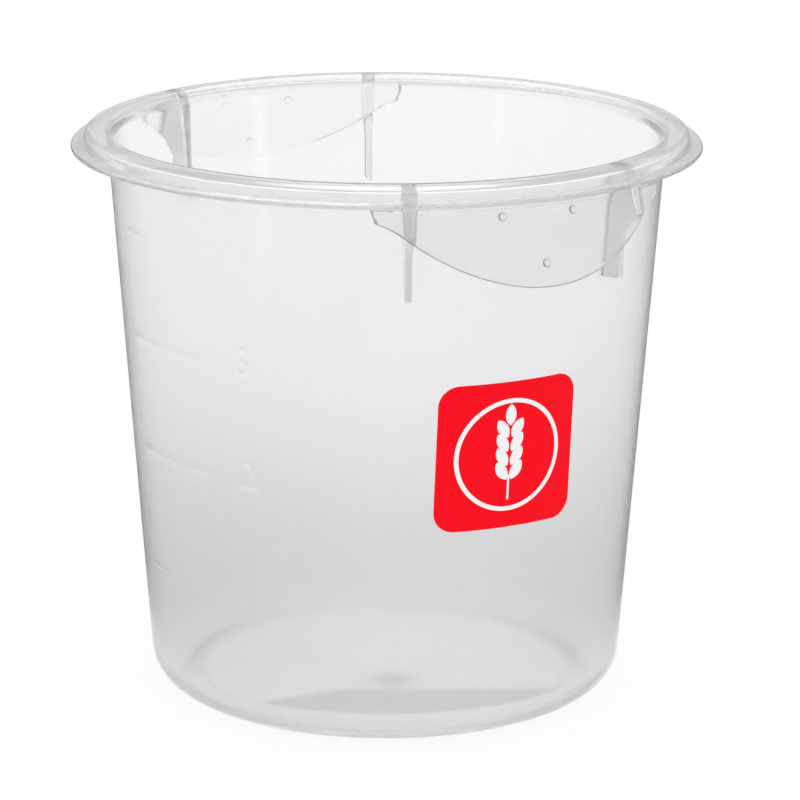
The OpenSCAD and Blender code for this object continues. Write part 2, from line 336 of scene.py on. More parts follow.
# %% Build the ribs
RIB_AZIMUTH = 23.1
RIB_LOW = node_low("front_left_rib").z
RIB_FIN_R = 100.6
RIB_FIN_T, RIB_JOIN_T, RIB_TOP_T = 2.4, 3.0, 4.6
APRON_ROWS, JOIN_ROWS = 12, 4
APRON_STEP = (LIP_LOW + 1 - APRON_LOW) / APRON_ROWS
RIB_JOIN = LIP_LOW - JOIN_ROWS * APRON_STEP
RIB_KNEE = RIB_JOIN - 8
RIB_ROW, RIB_FOOT_ROUND, RIB_EDGE_ROUND, CORNER_CUT = 2, 0.35, 0.7, 1.5


def rib_reach(z):
    """Radius of the rib's outer edge at a height."""
    if z <= RIB_KNEE:
        return RIB_FIN_R
    if z < RIB_JOIN:
        share = (z - RIB_KNEE) / (RIB_JOIN - RIB_KNEE)
        return RIB_FIN_R + share * (apron_back_r(RIB_JOIN) + BITE - RIB_FIN_R)
    if z <= LIP_LOW + BITE:
        return apron_back_r(z) + BITE
    return CHANNEL_R + 0.5 * BITE


def rib_thickness(z):
    """Thickness of the rib at a height."""
    if z <= RIB_KNEE:
        return RIB_FIN_T
    if z <= RIB_JOIN:
        return RIB_FIN_T + (RIB_JOIN_T - RIB_FIN_T) * (z - RIB_KNEE) / (RIB_JOIN - RIB_KNEE)
    return RIB_JOIN_T + (RIB_TOP_T - RIB_JOIN_T) * (z - RIB_JOIN) / (CHANNEL_TOP - RIB_JOIN)


def rib(name, azimuth):
    """Rib at an azimuth in degrees, counted from the front towards +X."""
    top = CHANNEL_TOP + 0.6 * BITE
    heights = [RIB_LOW, RIB_LOW + RIB_ROW / 4, RIB_LOW + 2 * RIB_ROW, RIB_KNEE - 2 * RIB_ROW]
    heights += [RIB_KNEE - RIB_ROW / 2, RIB_KNEE, RIB_KNEE + RIB_ROW, RIB_JOIN - RIB_ROW]
    heights += [RIB_JOIN, RIB_JOIN + RIB_ROW, LIP_LOW - RIB_ROW, LIP_LOW, LIP_LOW + BITE]
    heights += [LIP_LOW + BITE + RIB_ROW / 10, CHANNEL_TOP - CORNER_CUT, top]
    loops = []
    for i, z in enumerate(heights):
        round_end = RIB_FOOT_ROUND if i == 0 else 0
        half, reach = rib_thickness(z) / 2 - round_end, rib_reach(z) - round_end
        if z > CHANNEL_TOP - RIB_ROW / 2:
            reach -= CORNER_CUT
        inner = wall_r(z) - BITE
        loops.append([(x, -y, z) for y, x in rounded([
            (inner, -half, 0), (reach, -half, RIB_EDGE_ROUND),
            (reach, half, RIB_EDGE_ROUND), (inner, half, 0)], closed=True, steps=3)])
    obj = bridged(name, loops)
    obj.rotation_euler.z = math.radians(azimuth)
    return obj


RIBS = {"front_left": -RIB_AZIMUTH, "front_right": RIB_AZIMUTH,
        "rear_left": 180 + RIB_AZIMUTH, "rear_right": 180 - RIB_AZIMUTH}
additions += [rib(f"{name}_fin", azimuth) for name, azimuth in RIBS.items()]

# %% [markdown]
# Small raised details sit on the wall and the aprons: three round bumps on each
# apron, four fill lines and four plain numbers on each side. Raised lettering
# on a real container is cut into the mould, so it has height and soft edges.
# Each is made as a shallow solid with its foot inside the plastic.

# %% Bumps
BUMP_R, BUMP_H, BUMP_AZIMUTH, BUMP_HIGH, BUMP_LOW = 1.5, 1.0, 6.9, 186.5, 171.5
BUMP_FOOT, BUMP_TAPER, BUMP_SIDES, DOME_STEPS = 0.5, 0.98, 24, 6


def bump(name, azimuth, z):
    """Low dome standing square on the apron's face."""
    ball = (BUMP_R ** 2 + BUMP_H ** 2) / (2 * BUMP_H)
    widest = math.acos((ball - BUMP_H) / ball)
    foot = [(BUMP_R * BUMP_TAPER, -BUMP_FOOT)]
    arc = [(ball * math.sin(a), ball * math.cos(a) - ball + BUMP_H)
           for a in (widest * i / DOME_STEPS for i in range(DOME_STEPS - 1, 0, -1))]
    outline = [Vector((0, -BUMP_FOOT))] + [Vector(p) for p in foot + [(BUMP_R, 0)] + arc]
    obj = turned(name, outline + [Vector((0, BUMP_H))], BUMP_SIDES)
    tilt = math.asin((flare_z - z) / APRON_FLARE_R)
    turn = math.radians(azimuth)
    obj.rotation_euler = (math.pi / 2 - tilt, 0, turn)
    r = bell_r(z) * MM
    obj.location = (r * math.sin(turn), -r * math.cos(turn), z * MM)
    return obj


for side in (0, 180):
    for place, step, z in (("left", -BUMP_AZIMUTH, BUMP_HIGH),
                           ("right", BUMP_AZIMUTH, BUMP_HIGH), ("low", 0, BUMP_LOW)):
        additions.append(bump(f"bump_{place}_{side}", side + step, z))

# %% Fill levels
LINE_RELIEF, NUMBER_RELIEF, LINE_W = 0.04, 0.14, 0.9
LINE_START, LINE_END, NUMBER_AZIMUTH = -67.6, -95.0, -58.5
NUMBER_H, NUMBER_W, NUMBER_SIDE = 9.6, 1.3, 0.24
QUART, CORNER_CENTRE, LINE_STEPS, BACK_STEPS = 946353.0, 0.2, 24, 6


def level(n):
    """Height of fill line n, from the volume of the tapered bore."""
    corner = HEEL_IN_R ** 2 * (1 - math.pi / 4)
    lost = 2 * math.pi * (bore_r(FLOOR_TOP + HEEL_IN_R) - CORNER_CENTRE * HEEL_IN_R) * corner
    cube = bore_r(FLOOR_TOP) ** 3 + 3 * DRAFT * (n * QUART + lost) / math.pi
    return (cube ** (1 / 3) - bore_r(0)) / DRAFT


print("fill lines at", [round(level(n), 1) for n in range(1, 5)], "mm")


def on_wall(x, z, out, azimuth):
    """Point on the wall: x mm sideways from an azimuth, at height z, standing out."""
    a = math.radians(azimuth) + x / wall_r(z)
    r = wall_r(z) + out
    return (r * math.sin(a), -r * math.cos(a), z)


def ribbon_points(path, width):
    """Both sides of a stroke of even width along a path."""
    left, right = [], []
    for i, p in enumerate(path):
        before = unit(path[max(i, 1)] - path[max(i, 1) - 1])
        after = unit(path[min(i + 1, len(path) - 1)] - path[min(i, len(path) - 2)])
        middle = before + after
        side = Vector((-middle.y, middle.x)) / middle.dot(after) * width / 2
        left.append(p + side)
        right.append(p - side)
    return left, right


def raised_stroke(name, path, width, relief, azimuth, base_z):
    """Solid stroke with a low round back on the wall."""
    loops = []
    left, right = ribbon_points(path, width)
    for a, b in zip(left, right):
        rows = [(a, -relief)]
        for k in range(BACK_STEPS + 1):
            share = k / BACK_STEPS
            rows.append((a.lerp(b, share), relief * (1 - (2 * share - 1) ** 2)))
        rows += [(b, -relief)]
        loops.append([on_wall(p.x, base_z + p.y, out, azimuth) for p, out in rows])
    return bridged(name, loops)


def arc_path(centre, r, start, end, steps=12):
    """Points on an arc, angles in degrees."""
    angles = [math.radians(start + (end - start) * i / steps) for i in range(steps + 1)]
    return [Vector(centre) + r * Vector((math.cos(a), math.sin(a))) for a in angles]


def number_strokes(n):
    """Paths that draw a plain number, with its middle at the origin."""
    top, half = (NUMBER_H - NUMBER_W) / 2, NUMBER_W / 2
    side, bowl = NUMBER_H * NUMBER_SIDE, (NUMBER_H - NUMBER_W) / 4
    paths = {
        1: [[(0, -top - half), (0, top), (-side, top - side)]],
        2: [arc_path((0, top - side), side, 170, -35) + [(-side, -top), (1.2 * side, -top)]],
        3: [arc_path((0, bowl), bowl, 160, -90), arc_path((0, -bowl), bowl, 90, -160)],
        4: [[(side / 2, top + half), (side / 2, -top - half)],
            [(side / 2, top), (-1.2 * side, -top / 3), (1.4 * side, -top / 3)]]}
    return [[Vector(p) for p in path] for path in paths[n]]


# %% Raised lines and numbers
for side in (0, 180):
    for n in range(1, 5):
        z = level(n)
        reach = math.radians(LINE_START - LINE_END) * wall_r(z) / 2
        path = [Vector((reach * (2 * i / LINE_STEPS - 1), 0)) for i in range(LINE_STEPS + 1)]
        middle = side + (LINE_START + LINE_END) / 2
        additions.append(raised_stroke(f"line_{n}_{side}", path, LINE_W, LINE_RELIEF, middle, z))
        for k, path in enumerate(number_strokes(n)):
            additions.append(raised_stroke(
                f"number_{n}_{k}_{side}", path, NUMBER_W, NUMBER_RELIEF,
                side + NUMBER_AZIMUTH, z + NUMBER_H / 4))
print("solids to join to the vessel:", len(additions))

# %% [markdown]
# The pieces so far overlap. Light bends at every face inside clear plastic, so
# they are joined by an exact boolean union, which leaves one skin and no faces
# inside. Edges that stay sharp after it are marked, and the rest are shaded
# smooth.


# %% Join everything into one skin
WELD, MOULDING_SHARP, LABEL_SHARP = 0.00001, math.radians(34), math.radians(40)


def joined(body, parts):
    """Union of a body and a list of overlapping parts; the parts are used up."""
    group = bpy.data.collections.new("parts_to_join")
    for part in parts:
        bpy.context.scene.collection.objects.unlink(part)
        group.objects.link(part)
    bpy.context.scene.collection.children.link(group)
    union = body.modifiers.new("union", "BOOLEAN")
    union.operation, union.solver = "UNION", "EXACT"
    union.operand_type, union.collection = "COLLECTION", group
    bpy.context.view_layer.update()
    evaluated = body.evaluated_get(bpy.context.evaluated_depsgraph_get())
    mesh = bpy.data.meshes.new_from_object(evaluated)
    body.modifiers.clear()
    body.data = mesh
    for part in parts:
        bpy.data.objects.remove(part)
    bpy.data.collections.remove(group)
    return body


def shade_smooth(obj, sharp_angle):
    """Smooth shading that keeps edges above an angle sharp."""
    bm = bmesh.new()
    bm.from_mesh(obj.data)
    bmesh.ops.remove_doubles(bm, verts=bm.verts, dist=WELD)
    for face in bm.faces:
        face.smooth = True
    for edge in bm.edges:
        edge.smooth = edge.is_manifold and edge.calc_face_angle(0) < sharp_angle
    open_edges = sum(not edge.is_manifold for edge in bm.edges)
    bm.to_mesh(obj.data)
    bm.free()
    return open_edges


joined(moulding, additions)
open_edges = shade_smooth(moulding, MOULDING_SHARP)
print("faces in the moulding:", len(moulding.data.polygons), "open edges:", open_edges)

# %% [markdown]
# The label is a thin printed film, white on red, with an ear of grain in a ring.
# A cone unrolls flat, so a film bends onto this wall without a crease, and
# strips between an upper and a lower outline are enough to follow it. It could
# be a flat sheet with a shrinkwrap, but strips give exact, even edges.

# %% Label film
LABEL_Z, LABEL_T, PRINT_T = 102.0, 0.2, 0.1
LABEL_HALF, LABEL_ROUND = 25.3, 7.0
FILM_GAP, PRINT_GAP = 0.02, 0.01
CORNER_STEPS, MIDDLE_STEPS = 14, 12


def label_point(x, y, out):
    """Point on the wall under the label, seen square from the front."""
    z = LABEL_Z + y
    r = wall_r(z) + out
    return (x, -math.sqrt(r * r - x * x), z)


def film_half_height(x):
    """Half the label's height at a distance from its middle."""
    past = abs(x) - (LABEL_HALF - LABEL_ROUND)
    if past <= 0:
        return LABEL_HALF
    return LABEL_HALF - LABEL_ROUND + math.sqrt(max(LABEL_ROUND ** 2 - past ** 2, 0))


def skin(name, pairs, low, high):
    """Thin closed skin between two edges, given as pairs of opposite points."""
    loops = [[label_point(*a, low), label_point(*b, low),
              label_point(*b, high), label_point(*a, high)] for a, b in pairs]
    return bridged(name, loops)


corner_turns = [math.pi / 2 * i / CORNER_STEPS for i in range(CORNER_STEPS + 1)]
film_xs = [-LABEL_HALF + LABEL_ROUND * (1 - math.cos(a)) for a in corner_turns]
film_xs += [-LABEL_HALF + LABEL_ROUND + (LABEL_HALF - LABEL_ROUND) * i / MIDDLE_STEPS
            for i in range(1, MIDDLE_STEPS)]
film_xs += [0.0] + [-x for x in reversed(film_xs)]
film = skin("label_face", [((x, film_half_height(x)), (x, -film_half_height(x)))
                           for x in film_xs], FILM_GAP, LABEL_T)
shade_smooth(film, LABEL_SHARP)
print("columns in the label:", len(film_xs))

# %% Print on the label
RING_R, PRINT_W, GRAIN_PAIRS = 19.5, 1.5, 4
GRAIN_L, GRAIN_W, GRAIN_PITCH = RING_R * 0.38, RING_R * 0.2, RING_R * 0.25
FIRST_GRAIN, TIP_DROP, GRAIN_TIP = -RING_R * 0.44, RING_R * 0.04, 0.002
GRAIN_APART, GRAIN_LEAN = PRINT_W * 0.45, math.radians(32)
STEM_LOW, STEM_L = -RING_R * 0.8, RING_R * 0.45
RING_STEPS, GRAIN_STEPS, STEM_STEPS = 120, 16, 6


def grain_pairs_of(x, y, tilt):
    """Opposite edge points of a pointed grain that starts at x, y and leans by tilt."""
    r = ((GRAIN_L / 2) ** 2 + (GRAIN_W / 2) ** 2) / GRAIN_W
    pairs = []
    for i in range(GRAIN_STEPS + 1):
        up = GRAIN_L * (GRAIN_TIP + (1 - 2 * GRAIN_TIP) * i / GRAIN_STEPS)
        half = math.sqrt(r * r - (up - GRAIN_L / 2) ** 2) - (r - GRAIN_W / 2)
        edge = []
        for way in (-1, 1):
            edge.append((x + way * half * math.cos(tilt) - up * math.sin(tilt),
                         y + way * half * math.sin(tilt) + up * math.cos(tilt)))
        pairs.append(tuple(edge))
    return pairs


def ring_pairs():
    """Inner and outer points of the ring."""
    turns = [2 * math.pi * i / RING_STEPS for i in range(RING_STEPS + 1)]
    return [tuple((r * math.sin(a), r * math.cos(a)) for r in (RING_R - PRINT_W, RING_R))
            for a in turns]


def print_skin(name, pairs):
    """One printed shape on the film."""
    return skin(name, pairs, LABEL_T + PRINT_GAP, LABEL_T + PRINT_T)


print_parts = [print_skin("ring", ring_pairs())]
stem_ys = [STEM_LOW + STEM_L * i / STEM_STEPS for i in range(STEM_STEPS + 1)]
stem = [((-PRINT_W / 4, y), (PRINT_W / 4, y)) for y in stem_ys]
print_parts.append(print_skin("stem", stem))
for row in range(GRAIN_PAIRS):
    for side in (-1, 1):
        start = (side * GRAIN_APART, FIRST_GRAIN + row * GRAIN_PITCH)
        print_parts.append(print_skin("grain", grain_pairs_of(*start, -side * GRAIN_LEAN)))
tip = FIRST_GRAIN + GRAIN_PAIRS * GRAIN_PITCH - TIP_DROP
print_parts.append(print_skin("grain", grain_pairs_of(0, tip, 0)))
print_face = joined(print_parts[0], print_parts[1:])
print_face.name = "label_motif"
shade_smooth(print_face, LABEL_SHARP)

# %% [markdown]
# Finishes come next. Shader maths reads best as plain expressions, so a small
# class wraps a socket: adding or multiplying two of them adds the Math node.
# Anything else is made by one method that sets a node's options and sockets.


# %% A socket that does maths
class Value:
    """Output socket of a shader node, with arithmetic."""

    def __init__(self, finish, socket):
        self.finish, self.socket = finish, socket

    def maths(self, operation, a, b):
        """Adds one Math node."""
        return self.finish.node("ShaderNodeMath", {"operation": operation}, {0: a, 1: b})

    def __add__(self, other):
        return self.maths("ADD", self, other)

    def __mul__(self, other):
        return self.maths("MULTIPLY", self, other)

    def __sub__(self, other):
        return self.maths("SUBTRACT", self, other)

    def __rsub__(self, other):
        return self.maths("SUBTRACT", other, self)

    __radd__, __rmul__ = __add__, __mul__


class Finish:
    """A tree of shader nodes, as a material or a world holds it."""

    def __init__(self, tree):
        self.tree = tree
        self.tree.nodes.clear()

    def node(self, kind, settings=None, inputs=None, output=0):
        """Adds a node: its options first, then values or links for its sockets."""
        made = self.tree.nodes.new(kind)
        for name, value in (settings or {}).items():
            setattr(made, name, value)
        for name, value in (inputs or {}).items():
            if isinstance(value, Value):
                self.tree.links.new(value.socket, made.inputs[name])
            else:
                made.inputs[name].default_value = value
        return Value(self, made.outputs[output]) if made.outputs else None

    def noise(self, scale, detail=2.0, roughness=0.5, stretch=(1, 1, 1)):
        """Noise in object space, scale in features per metre."""
        place = self.node("ShaderNodeTexCoord", output="Object")
        place = self.node("ShaderNodeMapping", {}, {"Vector": place, "Scale": stretch})
        return self.node("ShaderNodeTexNoise", {}, {
            "Vector": place, "Scale": scale, "Detail": detail, "Roughness": roughness})

    def clamped(self, value, start, end):
        """Share from 0 to 1 of the way from start to end, in order or reversed."""
        return self.node("ShaderNodeMapRange", {}, {
            "Value": value, "From Min": start, "From Max": end})

    def eased(self, value, limit, width):
        """Share that falls softly from 1 to 0 where a value passes a limit."""
        return self.node("ShaderNodeMapRange", {"interpolation_type": "SMOOTHSTEP"}, {
            "Value": value, "From Min": limit + width / 2, "From Max": limit - width / 2})

    def done(self, shader):
        """Connects the last shader to the output."""
        self.node("ShaderNodeOutputMaterial", {}, {"Surface": shader})


def material(name, paint, **settings):
    """New material whose nodes the function paint makes."""
    made = bpy.data.materials.new(name)
    made.use_nodes = True
    paint(Finish(made.node_tree), **settings)
    made.cycles.emission_sampling = "NONE"  # a faint glow needs no lamp's share of the rays
    return made


# %% [markdown]
# The container is polypropylene: clear enough to show its far side through the
# wall, and milky enough to look pale grey on white. Most of the light passes
# (Transmission) and bends, and the rest scatters at the surface. On the real
# wall light also scatters between the two faces, which lifts the dark lines in
# corners and ribs. A volume would need very many samples for that, so a faint
# painted glow of the surface stands in for it. Every finish is the same plastic
# with the same bend, so that they can meet on one mesh, and mostly the colour and
# the glow differ, as painted shade and painted light: the heel, the lip's edge
# and the aprons' edges are thicker along the line of sight than the wall, so they
# are painted darker, the front apron a little too, and the rear apron lighter.
# The crown of the rim and the ledge of the lip catch the light, so they get a
# stronger painted glow; the heel and the ribs get one too. Mould polish isn't
# even, so the roughness drifts, and a slow bump gives the faint waviness of a
# moulded wall.


# %% Milky clear plastic
IOR = 1.42
# Painted shade and painted light: each part's colour and glow are set darker or lighter than the wall's
# to stand in for how light falls on it and bends in it
PLASTIC = {
    "wall": dict(clear=0.90, rough=0.10, tone=0.92, glow=0.04, ribs=1.0),
    "heel": dict(clear=0.90, rough=0.10, tone=0.72, glow=0.09, ribs=0.0),
    "rim": dict(clear=0.85, rough=0.12, tone=0.91, glow=0.045, ribs=0.5),
    "lip": dict(clear=0.85, rough=0.12, tone=0.62, glow=0.035, ribs=0.0),
    "apron": dict(clear=0.90, rough=0.10, tone=0.86, glow=0.04, ribs=1.0),
    "rear": dict(clear=0.94, rough=0.10, tone=0.95, glow=0.045, ribs=1.0),
    "crown": dict(clear=0.85, rough=0.12, tone=0.95, glow=0.085, ribs=0.5),
    "ledge": dict(clear=0.85, rough=0.30, tone=0.88, glow=0.08, ribs=0.5),
    "edge": dict(clear=0.90, rough=0.10, tone=0.32, glow=0.0, ribs=0.0),
    "rib": dict(clear=0.90, rough=0.10, tone=0.86, glow=0.09, ribs=1.0),
    "mark": dict(clear=0.90, rough=0.10, tone=0.91, glow=0.04, ribs=0.0)}
# painted shade on the ribs' strips and flanks; the rear-left rib gets more of it, the rear-right less
RIB_SHADE, FIN_SHADE = 0.34, 0.32
REAR_LEFT_MORE, REAR_RIGHT_LESS = 0.8, 0.5
SPLIT, STRIP_EDGE, FLANK_FROM, FLANK_FULL = 10, 0.3, 0.5, 0.2
DRIFT_SCALE, FINE_SCALE, WAVE_SCALE, WAVE_STRETCH = 18, 900, 26, (1, 1, 0.45)
WAVE_STRENGTH, WAVE_DEPTH, FINE_SHARE, ROUGH_DRIFT = 0.35, 0.0006, 0.004, 0.02


def ribs_shade(finish):
    """Painted shade at the ribs: how much darker the colour is where they stand, more where they are
    seen along their depth.
    """
    place = finish.node("ShaderNodeTexCoord", output="Object")
    x, y, z = [finish.node("ShaderNodeSeparateXYZ", {}, {0: place}, output=i) for i in range(3)]
    rear = finish.clamped(y, -SPLIT * MM, SPLIT * MM)
    rear_left = rear * finish.clamped(x, SPLIT * MM, -SPLIT * MM)
    rear_right = rear * finish.clamped(x, -SPLIT * MM, SPLIT * MM)
    x = finish.node("ShaderNodeMath", {"operation": "ABSOLUTE"}, {0: x})
    y = finish.node("ShaderNodeMath", {"operation": "ABSOLUTE"}, {0: y})
    turn = math.radians(RIB_AZIMUTH)
    sideways = x * math.cos(turn) - y * math.sin(turn)
    sideways = finish.node("ShaderNodeMath", {"operation": "ABSOLUTE"}, {0: sideways})
    outwards = x * math.sin(turn) + y * math.cos(turn)
    widening = finish.clamped(z, RIB_KNEE * MM, CHANNEL_TOP * MM)
    half = RIB_FIN_T / 2 * MM + widening * ((RIB_TOP_T - RIB_FIN_T) / 2 * MM)
    high = finish.clamped(z, (RIB_LOW - STRIP_EDGE) * MM, RIB_LOW * MM)
    strip = finish.clamped(sideways - half, 0.0, -STRIP_EDGE * MM) * high
    off_wall = outwards - z * DRAFT - (wall_r(0) + STRIP_EDGE) * MM
    flank = finish.clamped(off_wall, 0.0, STRIP_EDGE * MM) * high
    flank = flank * finish.clamped(sideways - half, FLANK_FROM * MM, FLANK_FULL * MM)
    shade = strip * (1 + rear_left * REAR_LEFT_MORE) * RIB_SHADE + flank * (1 - strip) * FIN_SHADE
    return shade * (1 - rear_right * REAR_RIGHT_LESS)


def milky_plastic(finish, clear, rough, tone, glow, ribs):
    """Plastic that passes most of the light and scatters the rest."""
    drift = finish.noise(DRIFT_SCALE, detail=3)
    fine = finish.noise(FINE_SCALE, detail=2)
    waviness = finish.noise(WAVE_SCALE, detail=1, stretch=WAVE_STRETCH)
    bump_normal = finish.node("ShaderNodeBump", {}, {
        "Strength": WAVE_STRENGTH, "Distance": WAVE_DEPTH,
        "Height": waviness + fine * FINE_SHARE})
    # painted shade: the base colour is darker where the ribs stand
    white = finish.node("ShaderNodeMix", {"data_type": "RGBA"}, {
        0: ribs_shade(finish) * ribs, 6: (tone, tone, tone, 1), 7: (0, 0, 0, 1)}, output=2)
    finish.done(finish.node("ShaderNodeBsdfPrincipled", {}, {
        "Base Color": white, "Roughness": rough + drift * ROUGH_DRIFT, "IOR": IOR,
        "Transmission Weight": clear, "Normal": bump_normal,
        "Emission Color": (glow, glow, glow, 1), "Emission Strength": 1.0}))


# %% [markdown]
# The label is matt film. Its red is a flat ink that still varies a little: a fine
# speckle in the colour, and a slow drift in the roughness and the bump. A plain
# colour would look like paint. The white print has the same speckle. Some light
# comes through the film, so its back is painted pale pink with a faint painted glow.


# %% Label finishes
RED, RED_DEEP = (0.95, 0.004, 0.014, 1), (0.88, 0.003, 0.011, 1)
WHITE, WHITE_DIM = (0.93, 0.93, 0.93, 1), (0.87, 0.88, 0.88, 1)
# painted light: the back's pink and its glow stand in for light coming through the red film
BACK, BACK_DIM, BACK_GLOW = (0.92, 0.85, 0.85, 1), (0.88, 0.81, 0.81, 1), (0.22, 0.15, 0.15, 1)
INK_SPECKLE, PRINT_SPECKLE, FILM_DRIFT = 2600, 2200, 60
FILM_ROUGH, BACK_ROUGH, FILM_SHINE = 0.4, 0.5, 0.05
INK_STRENGTH, INK_DEPTH, DEEPER_SHARE = 0.15, 0.0001, 0.25
RED_VARIES, WHITE_VARIES = 0.12, 0.1


def blended(finish, share, first, second):
    """Colour between two others."""
    return finish.node("ShaderNodeMix", {"data_type": "RGBA"}, {
        0: share, 6: first, 7: second}, output=2)


def label_red(finish):
    """Flat red ink on matt film."""
    speckle = finish.noise(INK_SPECKLE, detail=2)
    drift = finish.noise(FILM_DRIFT, detail=2)
    bump_normal = finish.node("ShaderNodeBump", {}, {
        "Strength": INK_STRENGTH, "Distance": INK_DEPTH, "Height": drift + speckle * 0.2})
    finish.done(finish.node("ShaderNodeBsdfPrincipled", {}, {
        "Base Color": blended(finish, speckle * DEEPER_SHARE, RED, RED_DEEP),
        "Roughness": FILM_ROUGH + drift * RED_VARIES,
        "Specular IOR Level": FILM_SHINE, "Normal": bump_normal}))


def label_white(finish):
    """White print."""
    speckle = finish.noise(PRINT_SPECKLE, detail=2)
    finish.done(finish.node("ShaderNodeBsdfPrincipled", {}, {
        "Base Color": blended(finish, speckle, WHITE, WHITE_DIM),
        "Roughness": FILM_ROUGH + speckle * WHITE_VARIES}))


def label_back(finish):
    """Underside of the film, seen through the wall."""
    drift = finish.noise(FILM_DRIFT, detail=2)
    finish.done(finish.node("ShaderNodeBsdfPrincipled", {}, {
        "Base Color": blended(finish, drift, BACK, BACK_DIM),
        "Roughness": BACK_ROUGH + drift * WHITE_VARIES,
        "Emission Color": BACK_GLOW, "Emission Strength": 1.0}))


# %% Hang the pieces on the frame
def dress(obj, materials, slot, *nodes):
    """Gives a piece its finishes and lets it stand for CAD nodes."""
    obj.data.materials.clear()
    for made in materials:
        obj.data.materials.append(made)
    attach(obj, "root")
    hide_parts(*nodes)


# %% Dress the moulding
CLEAR_NODES = sorted(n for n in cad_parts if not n.startswith("label"))
plastics = [material("milky_" + part, milky_plastic, **look) for part, look in PLASTIC.items()]
dress(moulding, plastics, "clear_plastic", *CLEAR_NODES)
print("the moulding stands for", len(CLEAR_NODES), "CAD nodes")

# %% [markdown]
# The moulding is one mesh, so every face has to say which finish it takes. Its
# height and its distance from the wall tell which form it belongs to. On the
# front apron the slope tells the narrow edges and the steep sides of the bumps
# from the broad face: they get painted shade, since on the real one they look
# dark because light leaves them sideways.

# %% Finish of every face
CROWN_H, LIP_EDGE, SKIN, MARK_OUT, NEAR = 1.6, 0.6, 0.3, 0.02, 1
# faces steeper than these take the edge finish, painted shade for dark edges and bump rims
EDGE_LOW, EDGE_CREASE, EDGE_BUMP = 0.92, 0.5, 0.7


def part_of(face):
    """Which entry of PLASTIC a face of the moulding belongs to."""
    place = face.center / MM
    r = math.hypot(place.x, place.y)
    out = r - wall_r(place.z)
    if place.z > HEIGHT - CROWN_H:
        return "crown"
    if abs(place.z - LIP_TOP) < SKIN and r > LIP_ROOT_R - LIP_EDGE:
        return "ledge"
    if place.z > MOUTH_LOW or place.z > LIP_LOW - SKIN / 3 and out > LIP_EDGE:
        return "lip" if r > LIP_R - LIP_EDGE and place.z < LIP_TOP else "rim"
    if place.z < FLOOR_TOP and r > FOOT_IN_R - NEAR:
        return "heel"
    if place.z < RIB_LOW - NEAR or out < SKIN:
        return "mark" if out > MARK_OUT and place.z > HEEL_R and place.x < 0 else "wall"
    if r < apron_back_r(place.z) - SKIN:
        return "rib"
    if place.y > 0:
        return "rear"
    tilt = math.asin((flare_z - place.z) / APRON_FLARE_R)
    outwards = (face.normal.x * place.x + face.normal.y * place.y) / r
    facing = abs(outwards * math.cos(tilt) + face.normal.z * math.sin(tilt))
    steep = EDGE_LOW if place.z < LIP_LOW - CREASE_H else EDGE_CREASE
    if r > apron_face_r(place.z) + SKIN / 6 and place.z < BUMP_HIGH + BUMP_R:
        steep = EDGE_BUMP
    return "edge" if facing < steep else "apron"


for face in moulding.data.polygons:
    face.material_index = list(PLASTIC).index(part_of(face))
counts = [0] * len(PLASTIC)
for face in moulding.data.polygons:
    counts[face.material_index] += 1
print("faces for each finish:", dict(zip(PLASTIC, counts)))

# %% Dress the label
red, white = material("label_red", label_red), material("label_white", label_white)
dress(film, [red, material("label_back", label_back)], "label_red", "label_film")
for face in film.data.polygons:
    out = Vector((face.center.x, face.center.y, 0)).normalized()
    faces_in = face.normal.dot(out) < -0.5
    face.material_index = int(faces_in)
dress(print_face, [white], "label_white", "label_print")
print("the label's face has", len(film.data.polygons), "faces")

# %% [markdown]
# The stage is a white floor that runs on to the horizon and a white world. The
# floor is partly self-lit for the camera, so that it is white around the object
# and still takes a soft contact shadow. Under the real container the floor isn't
# plain white: there is a soft shade, a thin dark ring where the container
# stands, the small shadow of the gate mark, and a crescent where the heel bends
# the light away. The light comes mostly from behind, so these lie along the
# line of sight. Clear plastic focuses it, which a path tracer finds only with
# very many samples, so they are drawn into the floor's finish, for light that
# has passed through the plastic. The plastic mirrors a bright floor near the
# container and dim surroundings farther off, as in a small photo tent, and that
# gives the wall its darker sides.


# %% Shade and floor
FLOOR_WHITE, FLOOR_HALF, FLOOR_Z = 0.9, 3000, -0.05
# The floor itself is in mm, like every mesh; its shade is in metres.
SHADE_AZIMUTH = -27.12
SHADE_DEEP, SHADE_FROM, SHADE_LEN = 0.36, 0.08, 0.25
SIDE_DEEP, SIDE_LEN, SIDE_SHIFT, SIDE_FROM, SIDE_FULL = 0.10, 0.6, -0.015, 0.02, 0.09
MIRROR_FAR, MIRROR_NEAR, MIRROR_LEN = 0.15, 0.95, 0.05
CONTACT_R, CONTACT_W, CONTACT_REAR, CONTACT_SIDE = 0.0685, 0.003, 0.12, 0.45
CONTACT_FADE = 0.02
GATE_AT, GATE_SHADOW, GATE_DEEP = (0.0025, -0.0147), (0.0075, 0.0055), 0.5
BENT_AT, BENT_R, BENT_BACK, BENT_DEEP = (-0.0008, 0.0373), 0.0887, -0.0247, 0.34
BENT_CUT, BENT_CUT_WAY, BENT_SOFT = (-0.0438, -0.0403), (0.48, -0.877), 0.004


def bell(finish, value, width):
    """Bell curve of a value, 1 at 0."""
    fall = value * value * (-1 / width ** 2)
    return finish.node("ShaderNodeMath", {"operation": "EXPONENT"}, {0: fall})


def ray(finish, kind):
    """1 for rays of this kind, 0 for the rest."""
    return finish.node("ShaderNodeLightPath", output="Is " + kind + " Ray")


